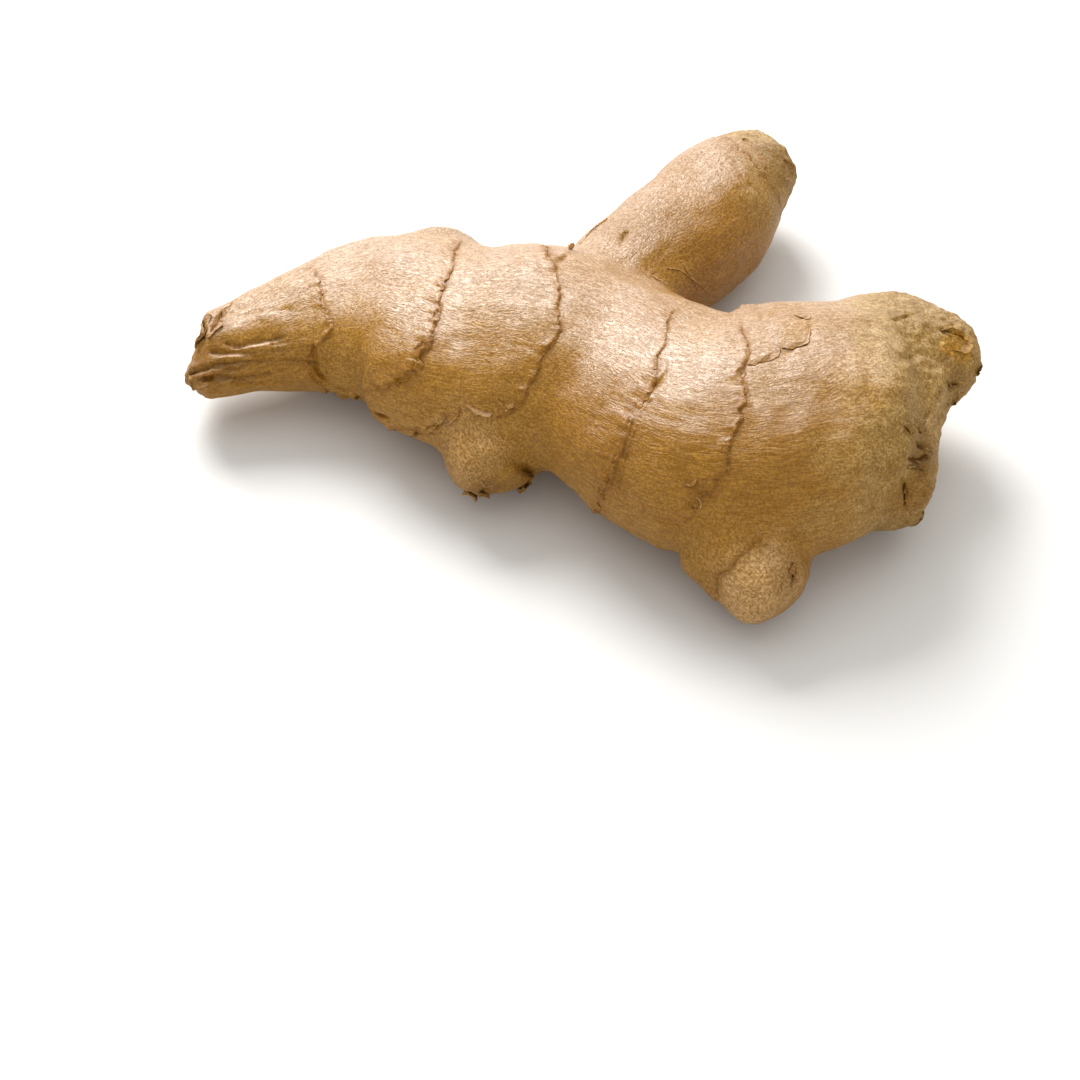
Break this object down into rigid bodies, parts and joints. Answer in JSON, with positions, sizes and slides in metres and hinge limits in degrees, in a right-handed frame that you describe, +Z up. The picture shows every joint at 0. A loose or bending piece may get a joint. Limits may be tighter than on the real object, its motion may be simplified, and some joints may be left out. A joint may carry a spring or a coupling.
{
  "type": "ginger root",
  "caption": "Fresh ginger rhizome: a thick ringed trunk with a side finger, low buds and a torn end, lying on its flat side.",
  "frame": {"origin": "middle of the footprint, on the surface it lies on", "axes": "+X along the trunk towards its torn thick end, +Y towards the side finger, +Z up"},
  "size_m": [0.1416, 0.1116, 0.0368],
  "materials": {
    "skin": "thin wrinkled papery skin, satin"
  },
  "bodies": {
    "root": {"rhizome": "skin"}
  },
  "joints": []
}
